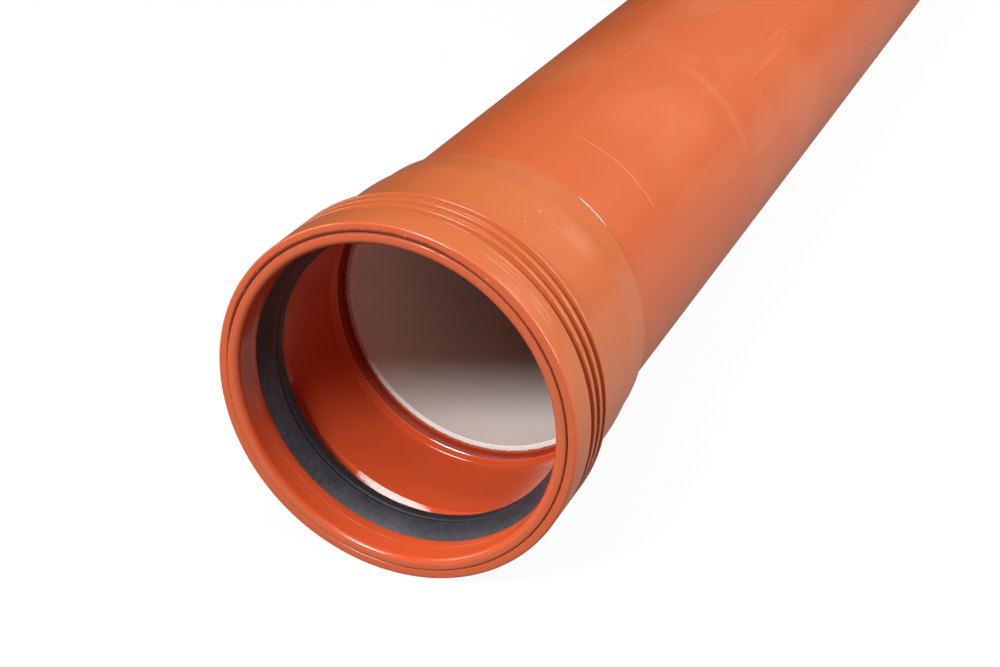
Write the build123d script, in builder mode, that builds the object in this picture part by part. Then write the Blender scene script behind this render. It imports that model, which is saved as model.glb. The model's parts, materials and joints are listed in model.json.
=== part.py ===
"""Sewer pipe with a moulded push-fit socket, lying along Y.

The origin is on the pipe's axis at the inner end of the socket's bore, where the stop begins.
The mouth points along -Y and the spigot end along +Y.  Each piece is turned about the Y axis, so its
profile is drawn with x as the radius and y along the pipe.
"""
import math
import os
from build123d import *

# Barrel
pipe_diameter = 160.0
wall_thickness = 5.5
outer_layer_thickness = 1.4
laying_length = 1000.0
chamfer_length = 8.0
chamfer_angle = 15.0
sawn_edge_chamfer = 0.6

# Socket bore and stop
socket_depth = 90.5
bore_clearance = 0.4
lead_in_length = 7.3
lead_in_angle = 35.0
stop_slope_length = 7.0
stop_land_length = 6.5

# Socket body and the tail that runs out on the barrel
body_wall = 5.6
tail_start = 88.0
tail_slope_length = 12.0
tail_drop = 1.6
tail_band_length = 13.0
tail_band_drop = 0.6
tail_end_length = 6.0
tail_slope_round = 14.0
tail_end_round = 2.5

# Collar and seal groove
groove_depth = 5.9
groove_rear = 38.0
collar_wall = 4.6
collar_length = 39.8
collar_rear_length = 3.2
mouth_chamfer = 0.6

# Ribs behind the collar's smooth band
rib_count = 3
rib_pitch = 7.25
rib_land = 2.65
rib_groove_depth = 2.6
rib_groove_slope = 0.4

# Retaining ring
ring_clearance = 0.1
ring_bore_gap = 0.2
ring_proud = 0.6
ring_length = 17.2
lip_round = 3.4
lip_edge_chamfer = 1.6
bead_place = 9.0
bead_height = 0.8
bead_length = 4.0

# Sealing ring, with its lip pressed back as it sits round a spigot
seal_clearance = 0.1
seal_lip_gap = 0.25
seal_heel_length = 11.5
seal_heel_height = 2.9
seal_slope_length = 6.5
seal_notch_depth = 4.0
seal_lip_thickness = 2.4

# Radii and stations that follow from the sizes above
pipe_radius = pipe_diameter / 2
pipe_bore_radius = pipe_radius - wall_thickness
layer_radius = pipe_radius - outer_layer_thickness
bore_radius = pipe_radius + bore_clearance
body_radius = bore_radius + body_wall
groove_radius = bore_radius + groove_depth
collar_radius = groove_radius + collar_wall
mouth = -socket_depth
groove_back = mouth + groove_rear
collar_back = mouth + collar_length
body_front = collar_back + collar_rear_length
tail_front = mouth + tail_start
band_front = tail_front + tail_slope_length
band_back = band_front + tail_band_length
tail_back = band_back + tail_end_length
barrel_start = stop_slope_length + stop_land_length
chamfer_drop = chamfer_length * math.tan(math.radians(chamfer_angle))
lead_in_rise = lead_in_length * math.tan(math.radians(lead_in_angle))
bead_centre = mouth + bead_place

os.makedirs("parts", exist_ok=True)


def turned(points):
    """The closed profile through points of (radius, place along the pipe)."""
    with BuildSketch(Plane.XY) as profile:
        with BuildLine():
            Polyline(*points, close=True)
        make_face()
    return profile.sketch


def snap_bead(base_radius):
    return turned([
        (base_radius, bead_centre - bead_length / 2),
        (base_radius + bead_height, bead_centre),
        (base_radius, bead_centre + bead_length / 2),
    ])


# What the chamfer takes off the spigot end, through whichever layers it reaches
spigot_chamfer = turned([
    (pipe_radius, laying_length - chamfer_length),
    (pipe_radius, laying_length),
    (pipe_radius - chamfer_drop, laying_length),
])

# Orange outer layer of the extruded wall, peeled off where the socket is welded on
with BuildPart() as barrel_outer_layer:
    outer_layer = turned([
        (layer_radius, tail_back),
        (pipe_radius, tail_back),
        (pipe_radius, laying_length),
        (layer_radius, laying_length),
    ])
    revolve(outer_layer, axis=Axis.Y)
    revolve(spigot_chamfer, axis=Axis.Y, mode=Mode.SUBTRACT)

# Light inner layer of the same wall, its sawn edge in the socket broken
with BuildPart() as barrel_inner_layer:
    inner_layer = turned([
        (pipe_bore_radius, barrel_start),
        (layer_radius, barrel_start),
        (layer_radius, laying_length),
        (pipe_bore_radius, laying_length),
    ])
    revolve(inner_layer, axis=Axis.Y)
    revolve(spigot_chamfer, axis=Axis.Y, mode=Mode.SUBTRACT)
    sawn_edges = barrel_inner_layer.edges().filter_by(GeomType.CIRCLE).group_by(Axis.Y)[0]
    chamfer(sawn_edges.sort_by(SortBy.RADIUS)[0], length=sawn_edge_chamfer)

# Socket: the outside runs from the mouth to the tail's end on the barrel, and the inside back to the mouth
with BuildPart() as socket:
    with BuildSketch(Plane.XY):
        with BuildLine():
            collar = Polyline(
                (groove_radius, mouth),
                (collar_radius - mouth_chamfer, mouth),
                (collar_radius, mouth + mouth_chamfer),
                (collar_radius, collar_back),
                (body_radius, body_front),
            )
            tail = FilletPolyline(
                collar @ 1,
                (body_radius, tail_front),
                (body_radius - tail_drop, band_front),
                (body_radius - tail_drop - tail_band_drop, band_back),
                (pipe_radius, tail_back),
                radius=[tail_slope_round, tail_slope_round, tail_end_round],
            )
            Polyline(
                tail @ 1,
                (layer_radius, tail_back),
                (layer_radius, stop_slope_length),
                (bore_radius, 0),
                (bore_radius, groove_back + lead_in_length),
                (bore_radius + lead_in_rise, groove_back),
                (groove_radius, groove_back),
                collar @ 0,
            )
        make_face()
    revolve(axis=Axis.Y)
    # Grooves that leave the ribs standing: upright front wall, rear wall leaning a little
    for rib in range(rib_count):
        groove_end = collar_back - rib_land - rib * rib_pitch
        groove_start = groove_end + rib_land - rib_pitch
        rib_groove = turned([
            (collar_radius, groove_start),
            (collar_radius - rib_groove_depth, groove_start),
            (collar_radius - rib_groove_depth, groove_end - rib_groove_slope),
            (collar_radius, groove_end),
        ])
        revolve(rib_groove, axis=Axis.Y, mode=Mode.SUBTRACT)
    # Snap groove for the retaining ring's bead
    revolve(snap_bead(groove_radius), axis=Axis.Y, mode=Mode.SUBTRACT)

# Retaining ring: lip rounded into the bore, and a bead that snaps into the socket
with BuildPart() as retaining_ring:
    ring_outer = groove_radius - ring_clearance
    ring_inner = bore_radius + ring_bore_gap
    ring_front = mouth - ring_proud
    ring_back = mouth + ring_length
    with BuildSketch(Plane.XY) as ring_profile:
        with BuildLine():
            Polyline(
                (ring_inner, ring_front),
                (ring_outer - lip_edge_chamfer, ring_front),
                (ring_outer, ring_front + lip_edge_chamfer),
                (ring_outer, ring_back),
                (ring_inner, ring_back),
                close=True,
            )
        make_face()
        lip_corner = ring_profile.vertices().group_by(Axis.Y)[0].sort_by(Axis.X)[0]
        fillet(lip_corner, radius=lip_round)
    revolve(axis=Axis.Y)
    revolve(snap_bead(ring_outer), axis=Axis.Y)

# Sealing ring: heel held in the groove, sloped front for the spigot to ride up, lip and notch behind
with BuildPart() as sealing_ring:
    seal_outer = groove_radius - seal_clearance
    seal_lip = pipe_radius + seal_lip_gap
    seal_front = ring_back + seal_clearance
    seal_back = groove_back - seal_clearance
    heel_back = seal_front + seal_heel_length
    seal = turned([
        (seal_outer, seal_front),
        (seal_outer, heel_back),
        (seal_lip + seal_lip_thickness, heel_back - seal_notch_depth),
        (seal_lip + seal_lip_thickness, seal_back),
        (seal_lip, seal_back),
        (seal_lip, seal_front + seal_slope_length),
        (seal_outer - seal_heel_height, seal_front),
    ])
    revolve(seal, axis=Axis.Y)

for name, piece in {
    "barrel_outer_layer": barrel_outer_layer,
    "barrel_inner_layer": barrel_inner_layer,
    "socket": socket,
    "retaining_ring": retaining_ring,
    "sealing_ring": sealing_ring,
}.items():
    piece.part.label = name
    export_step(piece.part, f"parts/{name}.step")
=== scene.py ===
import json
import math

import bmesh
import bpy
from mathutils import Matrix, Vector


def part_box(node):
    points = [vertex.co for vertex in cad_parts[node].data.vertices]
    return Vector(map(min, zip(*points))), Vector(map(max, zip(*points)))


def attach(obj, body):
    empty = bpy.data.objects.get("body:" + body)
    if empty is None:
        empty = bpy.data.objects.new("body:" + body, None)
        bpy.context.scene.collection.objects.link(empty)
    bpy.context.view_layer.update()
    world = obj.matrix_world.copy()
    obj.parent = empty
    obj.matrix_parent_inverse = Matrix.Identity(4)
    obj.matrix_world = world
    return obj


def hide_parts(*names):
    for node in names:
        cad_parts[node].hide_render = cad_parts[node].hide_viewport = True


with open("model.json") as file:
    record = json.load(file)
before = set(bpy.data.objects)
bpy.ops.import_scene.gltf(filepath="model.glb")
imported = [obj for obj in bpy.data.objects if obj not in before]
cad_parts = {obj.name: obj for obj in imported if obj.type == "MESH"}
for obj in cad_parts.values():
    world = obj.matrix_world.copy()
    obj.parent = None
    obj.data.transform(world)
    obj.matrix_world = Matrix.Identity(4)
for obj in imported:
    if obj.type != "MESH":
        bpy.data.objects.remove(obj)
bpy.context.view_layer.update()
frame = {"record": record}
mm = 0.001

# main sizes come from the frame, in mm
fitRadius = {m["name"]: m["dims"]["r_mm"] for m in frame["record"]["mounts"]}
pipeRadius = fitRadius["spigot"]
socketBore = fitRadius["socket"]
pipeBore = fitRadius["flow_bore"]
socketLow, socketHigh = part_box("socket")
lightLow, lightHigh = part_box("barrel_inner_layer")
collarRadius = socketHigh.x / mm
mouthY = socketLow.y / mm
socketEnd = socketHigh.y / mm - mouthY  # distances along the pipe count from the mouth
barrelStart = lightLow.y / mm - mouthY
pipeEnd = lightHigh.y / mm - mouthY
print("frame loaded, mouth at", round(mouthY, 2))


class Wire:
    # a socket's value, so that shader maths reads as sums
    def __init__(self, tree, socket):
        self.tree = tree
        self.socket = socket

    def node(self, kind, settings, inputs, out=0):
        made = self.tree.nodes.new(kind)
        for key, value in settings.items():
            setattr(made, key, value)
        for key, value in inputs.items():
            if isinstance(value, Wire):
                self.tree.links.new(value.socket, made.inputs[key])
            else:
                made.inputs[key].default_value = value
        return Wire(self.tree, made.outputs[out])  # out: a socket's number or name

    def maths(self, operation, a, b=0.0):
        return self.node("ShaderNodeMath", {"operation": operation}, {0: a, 1: b})

    def __add__(self, other):
        return self.maths("ADD", self, other)

    __radd__ = __add__

    def __sub__(self, other):
        return self.maths("SUBTRACT", self, other)

    def __rsub__(self, other):
        return self.maths("SUBTRACT", other, self)

    def __mul__(self, other):
        return self.maths("MULTIPLY", self, other)

    __rmul__ = __mul__


def startMaterial(name):
    made = bpy.data.materials.new(name)
    made.use_nodes = True
    shader = made.node_tree.nodes["Principled BSDF"]
    coords = made.node_tree.nodes.new("ShaderNodeTexCoord")
    return made, shader, Wire(made.node_tree, coords.outputs["Object"])


def plug(shader, **wires):
    for name, wire in wires.items():
        wire.tree.links.new(wire.socket, shader.inputs[name.replace("_", " ")])


def rise(value, low, high):
    return value.node("ShaderNodeMapRange", {"interpolation_type": "SMOOTHSTEP"},
                      {"Value": value, "From Min": low, "From Max": high})


def window(value, low, high, soft):
    return rise(value, low - soft, low) * rise(value, high + soft, high)


def patch(along, angle, spot):
    # a soft-edged spot on the turned surface: each side is start, end, softness
    return window(along, *spot["along"]) * window(angle, *spot["angle"])


def blend(amount, a, b):
    return amount.node("ShaderNodeMix", {"data_type": "RGBA"}, {0: amount, 6: a, 7: b}, 2)


def noise(place, stretch, detail=2.0):
    stretched = place.node("ShaderNodeVectorMath", {"operation": "MULTIPLY"}, {0: place, 1: stretch})
    return place.node("ShaderNodeTexNoise", {}, {"Vector": stretched, "Scale": 1.0, "Detail": detail})


def specks(place, scale, size, share):
    cells = {"Vector": place, "Scale": scale}
    near = place.node("ShaderNodeTexVoronoi", {}, cells, "Distance")
    pick = place.node("ShaderNodeTexVoronoi", {}, cells, "Color")
    return rise(near, size, size * 0.6) * rise(pick, 1 - share, 1.02 - share)


def bump(height, strength, depth):
    return height.node("ShaderNodeBump", {}, {"Height": height, "Strength": strength, "Distance": depth})


def polar(place):
    x, y, z = [place.node("ShaderNodeSeparateXYZ", {}, {0: place}, k) for k in range(3)]
    radius = place.maths("SQRT", x * x + z * z) * (1 / mm)
    angle = place.maths("ARCTAN2", z, x) * (180 / math.pi)  # 0 at the right, 90 on top
    return radius, angle, y * (1 / mm) - mouthY


turnLook = {
    "steps": 360,
    "roundSegments": 6,
    "sharpAngle": 32,
}


def turnPiece(name, corners, look=turnLook):
    # corners: radius, distance from the mouth, rounding - all mm, in order round the section
    bm = bmesh.new()
    verts = [bm.verts.new((r * mm, (mouthY + s) * mm, 0)) for r, s, _ in corners]
    for a, b in zip(verts, verts[1:] + verts[:1]):
        bm.edges.new((a, b))
    for vert, (_, _, size) in zip(verts, corners):
        if size:
            bmesh.ops.bevel(bm, geom=[vert], offset=size * mm, segments=look["roundSegments"], profile=0.5,
                            affect="VERTICES", material=-1)
    bmesh.ops.spin(bm, geom=bm.verts[:] + bm.edges[:], cent=(0, 0, 0), axis=(0, 1, 0),
                   angle=math.tau, steps=look["steps"], use_merge=True)
    bmesh.ops.remove_doubles(bm, verts=bm.verts[:], dist=1e-7)
    bmesh.ops.recalc_face_normals(bm, faces=bm.faces[:])
    mesh = bpy.data.meshes.new(name)
    bm.to_mesh(mesh)
    bm.free()
    mesh.shade_smooth()
    mesh.set_sharp_from_angle(angle=math.radians(look["sharpAngle"]))
    piece = bpy.data.objects.new(name, mesh)
    bpy.context.collection.objects.link(piece)
    return piece


def finishPiece(piece, material, node):
    piece.data.materials.append(material)
    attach(piece, "root")
    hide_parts(node)
    print(piece.name, "made,", len(piece.data.polygons), "faces")


# orange polypropylene, shared by the socket, the ring and the barrel's skin
orangeLook = {
    "outside": (0.57, 0.142, 0.046, 1),
    "inside": (0.79, 0.105, 0.031, 1),
    "mouth": (0.77, 0.150, 0.056, 1),
    "faded": (0.62, 0.180, 0.070, 1),
    "chalk": (0.80, 0.46, 0.34, 1),
    "dirt": (0.24, 0.026, 0.011, 1),
    "shaded": (0.34, 0.026, 0.010, 1),
    "fadedShare": 0.5,
    "cloud": (16, 9, 16),
    "lineShare": 0.1,
    "speckScale": 70,
    "speckSize": 0.055,
    "speckShare": 0.22,
    "speckStrength": 0.8,
    "mouldLines": (26, 1300, 26),  # fine rings round the mouldings
    "mouldGrain": (160, 160, 160),
    "mouldBump": 0.06,
    "ragged": (420, 900, 420),
    "bumpDepth": 0.0004,
}


def orangeColour(place, exposed, lines, look):
    # exposed: 1 on the faded outside, 0 in the bore
    cloud = rise(noise(place, look["cloud"], 3.0), 0.45, 0.75)
    colour = blend(exposed, look["inside"], look["outside"])
    colour = blend(cloud * exposed * look["fadedShare"], colour, look["faded"])
    colour = blend(rise(lines, 0.62, 0.8) * exposed * look["lineShare"], colour, look["chalk"])
    spots = specks(place, look["speckScale"], look["speckSize"], look["speckShare"])
    return blend(spots * look["speckStrength"], colour, look["chalk"])


def mouldedBump(place, lines):
    grain = noise(place, orangeLook["mouldGrain"], 2.0)
    return bump(lines + grain * 1.5, orangeLook["mouldBump"], orangeLook["bumpDepth"])


def upperHalf(angle):
    return rise(angle, -60, 30) * rise(angle, 178, 160)  # where the mouth's seam shows most dirt and painted shade


# socket moulding
socketLook = {
    "seatRadius": 86.3,
    "seatRound": 0.8,
    "mouthRound": 1.0,
    "bandLength": 18.05,
    "ribs": 3,
    "ribPitch": 7.25,
    "ribProfile": [  # below the collar, from the groove's front, rounding
        (0, 0, 0.2),
        (2.6, 0.15, 0.35),
        (2.6, 4.2, 0.3),
        (0, 4.6, 0.5),
    ],
    "collarLength": 39.8,
    "collarRound": 0.9,
    "tailProfile": [  # radius, distance from the mouth, rounding
        (86.0, 43.0, 1.2),
        (86.0, 88.0, 5.5),
        (84.4, 100.0, 5.5),
        (83.8, 113.0, 2.2),
    ],
    "weldProfile": [  # above the pipe, from the socket's end, rounding
        (0.05, -3.0, 0.2),
        (0.76, -0.4, 0.2),
        (0, 0, 0),
    ],
    "stopRadius": 78.6,
    "stopEdge": 96.8,
    "stopRecess": 0.8,
    "recessEnd": 0.2,
    "stopProfile": [  # above the stop, from its ridge, rounding
        (0.8, 4.0, 0),
        (0.65, 3.8, 0),
        (0.65, 0.5, 0.3),
        (0, 0, 0.15),
        (0.65, -0.45, 0.3),
        (1.35, -4.13, 0),
        (1.58, -4.3, 0.1),
    ],
    "boreEnd": 90.5,
    "boreEndRound": 2.2,
    "boreFront": 45.3,
    "leadInRadius": 85.5,
    "leadInRound": 0.3,
    "seatBack": 38.0,
    "exposedRadius": (81.2, 82.8),
    "exposedTail": (103, 105),
    "mouthFace": (1.2, 0.2),
    "coneAlong": (37, 46, 1),
    "coneRadius": (86, 85.6),
    "stopAlong": (92, 103, 1),
    "stopInside": (82, 81),
    "ribsAlong": (22, 41, 1),
    "edgeRadius": (89.2, 89.6),
    "edgeFront": (1.4, 1.1),
    "weldAlong": (115, 116),
    "roughness": 0.24,
    "boreRoughness": 0.17,
    "polishedRoughness": 0.07,
    "coneCoat": 0.6,
    "scuffs": {"along": (8, 17, 3), "angle": (42, 58, 12), "share": 0.35},
    "rubbed": {"along": (78, 84, 9), "angle": (46, 52, 12), "share": 0.12},
    "seamRadius": (87.2, 86.9),
    "seamWide": (80, 150, 30),
    "chipScale": 250,
    "chipSize": 0.16,
    "chipShare": 0.6,
    "chipStrength": 0.45,
    "chipRadius": (86.5, 88.4, 0.3),
    "recessShade": 0.85,
    "stopPolish": 0.6,
    "edgePolish": 0.7,
    "weldPolish": 0.75,
}


def makeSocket(look):
    corners = [(look["seatRadius"], 0, look["seatRound"]), (collarRadius, 0, look["mouthRound"])]
    for rib in range(look["ribs"]):
        front = look["bandLength"] + rib * look["ribPitch"]
        corners += [(collarRadius - drop, front + at, size) for drop, at, size in look["ribProfile"]]
    corners.append((collarRadius, look["collarLength"], look["collarRound"]))
    corners += look["tailProfile"]
    corners += [(pipeRadius + up, socketEnd + at, size) for up, at, size in look["weldProfile"]]
    corners += [
        (look["stopRadius"], socketEnd, 0),
        (look["stopRadius"], barrelStart, 0),
        (look["stopRadius"] + look["stopRecess"], barrelStart - look["recessEnd"], 0),
    ]
    corners += [(look["stopRadius"] + up, look["stopEdge"] + at, size) for up, at, size in look["stopProfile"]]
    corners += [
        (socketBore, look["boreEnd"], look["boreEndRound"]),
        (socketBore, look["boreFront"], 0),
        (look["leadInRadius"], look["seatBack"], look["leadInRound"]),
        (look["seatRadius"], look["seatBack"], 0),
    ]
    return turnPiece("socketMoulding", corners)


def orangeSocket(look):
    made, shader, place = startMaterial("socketOrange")
    radius, angle, along = polar(place)
    lines = noise(place, orangeLook["mouldLines"], 3.0)
    exposed = place.maths("MAXIMUM", rise(radius, *look["exposedRadius"]), rise(along, *look["exposedTail"]))
    colour = orangeColour(place, exposed, lines, orangeLook)
    colour = blend(rise(along, *look["mouthFace"]), colour, orangeLook["mouth"])
    # real scuffs near the ribs, plus a painted highlight patch on the body's upper right
    scuffs = patch(along, angle, look["scuffs"]) * rise(lines, 0.56, 0.66)
    rubbed = patch(along, angle, look["rubbed"]) * rise(noise(place, (60, 60, 60), 4.0), 0.3, 0.7)
    worn = scuffs * look["scuffs"]["share"] + rubbed * look["rubbed"]["share"]
    colour = blend(worn, colour, orangeLook["chalk"])
    # dirt and painted shade of the gap in the seam round the ring, wide and ragged at the upper left
    ragged = noise(place, orangeLook["ragged"], 3.0)
    upper = upperHalf(angle)
    wide = window(angle, *look["seamWide"])
    seamDirtAndShade = rise(radius + ragged * 1.2 - wide * 1.3, *look["seamRadius"]) * rise(along, 1.4, 0.8)
    seamDirtAndShade = seamDirtAndShade * (upper * 0.7 + 0.1)
    colour = blend(seamDirtAndShade, colour, orangeLook["dirt"])
    chips = specks(place, look["chipScale"], look["chipSize"], look["chipShare"])
    chips = chips * window(radius, *look["chipRadius"]) * rise(along, 1.0, 0.6)
    colour = blend(chips * upper * look["chipStrength"], colour, orangeLook["chalk"])
    # painted shade in the recess between the stop's ridge and the pipe's end
    recess = window(along, look["stopEdge"] + 0.5, barrelStart + 1, 0.4) * rise(radius, 80.6, 80.2)
    colour = blend(recess * look["recessShade"], colour, orangeLook["shaded"])
    # smoother on the lead-in cone, the stop, the ribs' edges and the weld
    gloss = exposed * (look["roughness"] - look["boreRoughness"]) + look["boreRoughness"]
    cone = window(along, *look["coneAlong"]) * rise(radius, *look["coneRadius"])
    stop = window(along, *look["stopAlong"]) * rise(radius, *look["stopInside"])
    edges = window(along, *look["ribsAlong"]) + rise(along, *look["edgeFront"])
    edges = rise(radius, *look["edgeRadius"]) * edges
    weld = rise(along, *look["weldAlong"])
    polished = cone + stop * look["stopPolish"] + edges * look["edgePolish"] + weld * look["weldPolish"]
    gloss = gloss + polished * (look["polishedRoughness"] - gloss) + seamDirtAndShade * 0.4
    plug(shader, Base_Color=colour, Roughness=gloss * (lines * 0.6 + 0.7), Coat_Weight=cone * look["coneCoat"])
    plug(shader, Normal=mouldedBump(place, lines))
    shader.inputs["Coat Roughness"].default_value = look["polishedRoughness"]
    return made


finishPiece(makeSocket(socketLook), orangeSocket(socketLook), "socket")

# retaining ring in the mouth
ringLook = {
    "outer": 86.2,
    "inner": 80.2,
    "front": -0.6,
    "length": 17.2,
    "backRound": 0.3,
    "stepAt": 11.2,
    "stepRun": 0.3,
    "step": 0.08,
    "lipHeight": 3.0,
    "lipDepth": 3.0,
    "lipEdge": 1.2,
    "roughness": 0.17,
    "lipRadius": (80.9, 82.6),
    "seamRadius": (85.2, 85.5),
    "seamWide": (95, 150, 30),
    "rubbedShare": 0.4,
}


def makeRing(look):
    wide = look["inner"] + look["step"]
    corners = []
    for turn in range(90, -1, -10):  # from the bore round to the front
        up = look["lipHeight"] * (1 - math.sin(math.radians(turn)))
        back = look["lipDepth"] * (1 - math.cos(math.radians(turn)))
        corners.append((wide + up, look["front"] + back, 0))
    corners += [
        (look["outer"], look["front"], look["lipEdge"]),
        (look["outer"], look["length"], 0),
        (look["inner"], look["length"], look["backRound"]),
        (look["inner"], look["stepAt"] + look["stepRun"], 0),
        (wide, look["stepAt"], 0),
    ]
    return turnPiece("retainingRing", corners)


def orangeRing(look):
    made, shader, place = startMaterial("ringOrange")
    radius, angle, along = polar(place)
    lines = noise(place, orangeLook["mouldLines"], 3.0)
    lipOrange = {**orangeLook, "outside": orangeLook["mouth"]}
    colour = orangeColour(place, rise(radius, *look["lipRadius"]), lines, lipOrange)
    # dirt and painted shade in the seam against the socket, heavier on the upper half
    ragged = noise(place, orangeLook["ragged"], 3.0)
    wide = window(angle, *look["seamWide"])
    seamDirtAndShade = rise(radius - ragged * 0.8 + wide * 0.2, *look["seamRadius"]) * (upperHalf(angle) * 0.6 + 0.2)
    colour = blend(seamDirtAndShade, colour, orangeLook["dirt"])
    rubbed = window(along, look["stepAt"], look["stepAt"] + look["stepRun"], 0.15)  # a broken painted highlight along the step
    rubbed = rubbed * rise(noise(place, (45, 45, 45)), 0.42, 0.6)
    colour = blend(rubbed * look["rubbedShare"], colour, orangeLook["chalk"])
    plug(shader, Base_Color=colour, Roughness=lines * 0.1 + (look["roughness"] - 0.05) + seamDirtAndShade * 0.5)
    plug(shader, Normal=mouldedBump(place, lines))
    return made


finishPiece(makeRing(ringLook), orangeRing(ringLook), "retaining_ring")

# rubber seal, its lip standing free
sealLook = {
    "outer": 86.2,
    "front": 17.3,
    "frontRadius": 80.2,
    "swell": (21.6, 77.2),
    "ridge": (26.8, 75.2),
    "crease": (28.2, 75.9),
    "lipFront": (29.2, 75.1),
    "lipEnd": (33.5, 74.8),
    "lipThickness": 2.2,
    "notchHeight": 5.6,
    "notchDepth": 3.0,
    "heelBack": 28.8,
    "colour": (0.020, 0.021, 0.027, 1),
    "worn": (0.056, 0.058, 0.074, 1),
    "roughness": 0.5,
    "grain": (330, 330, 330),
    "cloud": (70, 70, 70),
    "grainBump": 0.25,
    "grainDepth": 0.0004,
}


def makeSeal(look):
    def corner(name, rounding):
        at, radius = look[name]
        return (radius, at, rounding)

    endAt, endRadius = look["lipEnd"]
    corners = [
        (look["outer"], look["front"], 0.3),
        (look["outer"], look["heelBack"], 0.5),
        (endRadius + look["notchHeight"], look["heelBack"] - look["notchDepth"], 0.8),
        (endRadius + look["lipThickness"], endAt, 0.9),
        corner("lipEnd", 0.9),
        corner("lipFront", 0.5),
        corner("crease", 0.2),
        corner("ridge", 0.7),
        corner("swell", 3.0),
        (look["frontRadius"], look["front"], 0.5),
    ]
    return turnPiece("sealingRing", corners)


def blackRubber(look):
    made, shader, place = startMaterial("sealRubber")
    grain = noise(place, look["grain"], 4.0)
    cloud = noise(place, look["cloud"], 3.0)
    along = polar(place)[2]
    # grey bloom and painted sheen on the front, while the lip behind the crease stays black as painted shade
    bloomAndSheen = rise(along, look["crease"][0], look["ridge"][0]) * 0.8 + 0.2
    colour = blend(rise(grain * 0.6 + cloud * 0.4, 0.2, 0.8) * bloomAndSheen, look["colour"], look["worn"])
    plug(shader, Base_Color=colour, Roughness=cloud * 0.1 + (look["roughness"] - 0.05))
    plug(shader, Normal=bump(grain, look["grainBump"], look["grainDepth"]))
    return made


finishPiece(makeSeal(sealLook), blackRubber(sealLook), "sealing_ring")

# barrel, an orange skin on a light wall
barrelLook = {
    "layerRadius": 78.6,
    "chamferLength": 8.0,
    "chamferAngle": 15.0,
    "chamferRound": 0.6,
    "sawnRound": 0.8,
    "spigotRounds": (0.2, 0.4),  # outer and inner edge of the far end
    "colour": (0.57, 0.116, 0.035, 1),
    "roughness": 0.3,
    "drawnLines": (420, 5, 420),  # along the pipe, from the die
    "drawnBump": 0.05,
    "scratch": {"along": (171.8, 172.2, 0.3), "angle": (38, 66, 12), "share": 0.35},
    "mark": {"along": (314, 318, 5), "angle": (25, 55, 12), "share": 0.06},
    "light": (0.80, 0.74, 0.68, 1),
    "sawn": (0.96, 0.96, 0.95, 1),
    "smeared": (0.50, 0.12, 0.06, 1),
    "smearRadius": (77.6, 77.9),
    "lightRoughness": 0.45,
    "sawnRoughness": 0.3,
    "sawnBump": 0.5,
    "sawnDepth": 0.0006,
}
chamferSlope = math.tan(math.radians(barrelLook["chamferAngle"]))
skinEnd = pipeEnd - barrelLook["chamferLength"] + (pipeRadius - barrelLook["layerRadius"]) / chamferSlope


def makeSkin(look):
    corners = [
        (look["layerRadius"], socketEnd, 0),
        (pipeRadius, socketEnd, 0),
        (pipeRadius, pipeEnd - look["chamferLength"], look["chamferRound"]),
        (look["layerRadius"], skinEnd, 0),
    ]
    return turnPiece("barrelSkin", corners)


def makeLightWall(look):
    outerRound, innerRound = look["spigotRounds"]
    corners = [
        (pipeBore, barrelStart, look["sawnRound"]),
        (look["layerRadius"], barrelStart, 0),
        (look["layerRadius"], skinEnd, 0),
        (pipeRadius - look["chamferLength"] * chamferSlope, pipeEnd, outerRound),
        (pipeBore, pipeEnd, innerRound),
    ]
    return turnPiece("barrelLightWall", corners)


def orangeSkin(look):
    made, shader, place = startMaterial("barrelOrange")
    radius, angle, along = polar(place)
    drawn = noise(place, look["drawnLines"], 3.0)
    colour = orangeColour(place, rise(radius, 79, 79.5), drawn, {**orangeLook, "outside": look["colour"]})
    # a pale scratch line and a pale band on the barrel's upper right
    scratch, mark = [patch(along, angle, look[name]) * look[name]["share"] for name in ("scratch", "mark")]
    colour = blend(scratch + mark, colour, orangeLook["chalk"])
    plug(shader, Base_Color=colour, Roughness=drawn * 0.12 + (look["roughness"] - 0.06))
    plug(shader, Normal=bump(drawn, look["drawnBump"], orangeLook["bumpDepth"]))
    return made


def lightWall(look):
    made, shader, place = startMaterial("barrelLight")
    radius, _, along = polar(place)
    torn = noise(place, (700, 700, 700), 4.0)
    face = rise(along, barrelStart + 0.9, barrelStart + 0.2)
    face = place.maths("MAXIMUM", face, rise(along, pipeEnd - 0.4, pipeEnd - 0.1))
    colour = blend(face * rise(torn, 0.2, 0.5), look["light"], look["sawn"])
    smear = rise(radius + torn * 1.2, *look["smearRadius"])  # orange drawn over the cut
    smear = smear * rise(along, barrelStart + 2, barrelStart + 1)
    colour = blend(smear, colour, look["smeared"])
    plug(shader, Base_Color=colour, Roughness=face * look["sawnRoughness"] + look["lightRoughness"])
    rough = torn * face + noise(place, (300, 12, 300), 2.0) * 0.1
    plug(shader, Normal=bump(rough, look["sawnBump"], look["sawnDepth"]))
    return made


finishPiece(makeSkin(barrelLook), orangeSkin(barrelLook), "barrel_outer_layer")
finishPiece(makeLightWall(barrelLook), lightWall(barrelLook), "barrel_inner_layer")

# floor, tipped so that the collar and the spigot end both rest on it
stageLook = {
    "size": 8.0,
    "colour": (0.08, 0.08, 0.08, 1),
    "seenBare": 0.92,  # added for the camera, so that the paper shows white
    "seenInGloss": 0.19,
    "leftInGloss": 0.03,
    "glossAcross": (-0.3, 0.05),  # from the left level to the right one, in metres
}


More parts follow.
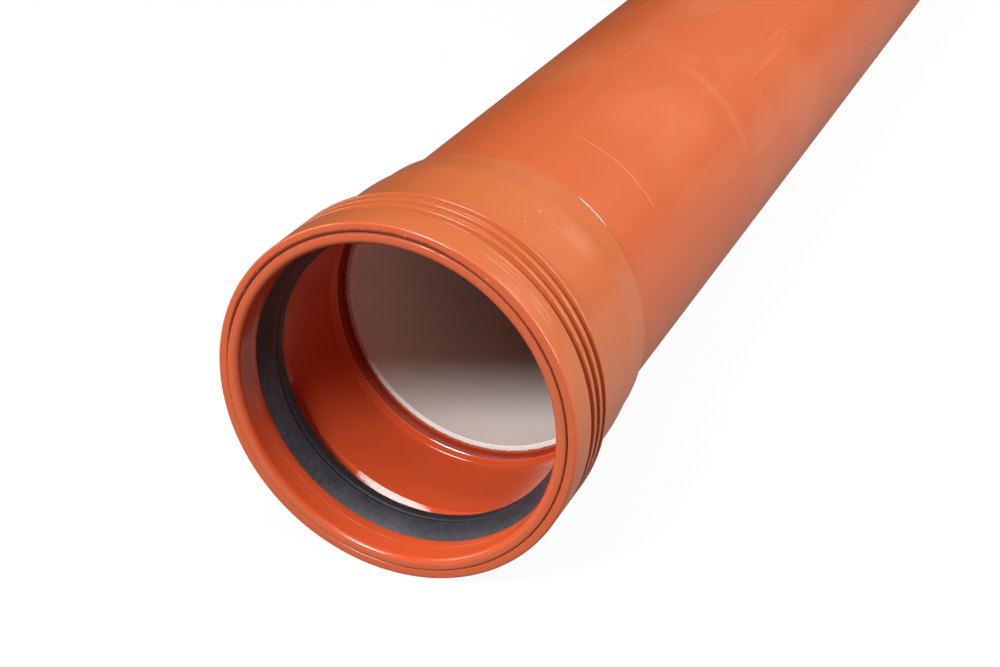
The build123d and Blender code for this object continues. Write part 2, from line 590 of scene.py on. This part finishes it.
def makeFloor(look):
    bm = bmesh.new()
    bmesh.ops.create_grid(bm, x_segments=1, y_segments=1, size=look["size"] / 2)
    collarFoot = Vector((0, (mouthY + socketLook["collarLength"]) * mm, -collarRadius * mm))
    spigotFoot = Vector((0, (mouthY + pipeEnd - barrelLook["chamferLength"]) * mm, -pipeRadius * mm))
    run = spigotFoot - collarFoot
    tip = Matrix.Rotation(math.atan2(run.z, run.y), 3, "X")
    bmesh.ops.rotate(bm, verts=bm.verts[:], cent=(0, 0, 0), matrix=tip)
    bmesh.ops.translate(bm, verts=bm.verts[:], vec=collarFoot)
    mesh = bpy.data.meshes.new("floor")
    bm.to_mesh(mesh)
    bm.free()
    floor = bpy.data.objects.new("floor", mesh)
    bpy.context.collection.objects.link(floor)
    made, shader, place = startMaterial("floorPaper")
    shader.inputs["Base Color"].default_value = look["colour"]
    shader.inputs["Roughness"].default_value = 1.0
    shader.inputs["Specular IOR Level"].default_value = 0.0
    shader.inputs["Emission Strength"].default_value = 1.0
    rays = ("Camera", "Glossy", "Transmission")
    cameraRay, glossRay, clearRay = [place.node("ShaderNodeLightPath", {}, {}, f"Is {kind} Ray") for kind in rays]
    across = place.node("ShaderNodeSeparateXYZ", {}, {0: place}, "X")
    gain = look["seenInGloss"] - look["leftInGloss"]
    gloss = rise(across, *look["glossAcross"]) * gain + look["leftInGloss"]
    plug(shader, Emission_Color=cameraRay * look["seenBare"] + (glossRay + clearRay) * gloss)
    floor.data.materials.append(made)
    print("floor laid")


makeFloor(stageLook)

# light
lightLook = {
    "roomLight": 0.005,
    "seenBare": 1.0,
    "lamps": [  # name, place, aim, width, depth, watts
        ("front", (-0.42, -2.24, 2.06), (0, -0.05, 0), 1.0, 0.7, 82),
        ("streak", (-0.05, -0.83, 2.15), (0.08, -0.07, 0), 2.3, 0.14, 11),
        ("backRight", (1.1, 0.9, 1.2), (0, 0.05, 0), 0.72, 0.72, 15),
        ("backWall", (0.6, 2.6, 1.0), (0, 0.1, 0), 3.4, 1.4, 1.5),
        ("leftSide", (-1.9, -0.5, 1.1), (0, 0.05, 0), 1.2, 1.2, 19),
        ("rightSide", (1.8, 0.6, 0.7), (0, 0.05, 0), 0.9, 0.9, 29),
    ],
}


def lightScene(look):
    world = bpy.data.worlds.new("studio")
    world.use_nodes = True
    back = world.node_tree.nodes["Background"]
    back.inputs["Color"].default_value = (1, 1, 1, 1)
    ray = Wire(world.node_tree, world.node_tree.nodes.new("ShaderNodeLightPath").outputs["Is Camera Ray"])
    level = ray * (look["seenBare"] - look["roomLight"]) + look["roomLight"]
    world.node_tree.links.new(level.socket, back.inputs["Strength"])
    bpy.context.scene.world = world
    for name, spot, aim, width, depth, watts in look["lamps"]:
        lamp = bpy.data.lights.new(name, "AREA")
        lamp.shape = "ELLIPSE"
        lamp.size = width
        lamp.size_y = depth
        lamp.energy = watts
        holder = bpy.data.objects.new(name, lamp)
        holder.location = spot
        holder.rotation_euler = (Vector(aim) - Vector(spot)).to_track_quat("-Z", "Y").to_euler()
        bpy.context.collection.objects.link(holder)
    print("lamps set:", len(look["lamps"]))


lightScene(lightLook)

# camera at the photograph's angle
cameraLook = {
    "lens": 63.72,
    "fromMouth": (0.3230, -0.6306, 0.3955),
    "turn": (63.18, 0, 23.09),
}


def placeCamera(look):
    lens = bpy.data.cameras.new("camera")
    lens.lens = look["lens"]
    lens.sensor_width = 36
    lens.clip_start = 0.01
    camera = bpy.data.objects.new("camera", lens)
    camera.location = Vector((0, mouthY * mm, 0)) + Vector(look["fromMouth"])
    camera.rotation_euler = [math.radians(a) for a in look["turn"]]
    bpy.context.collection.objects.link(camera)
    bpy.context.scene.camera = camera
    print("camera placed")


placeCamera(cameraLook)
bpy.context.scene.view_settings.view_transform = "Standard"
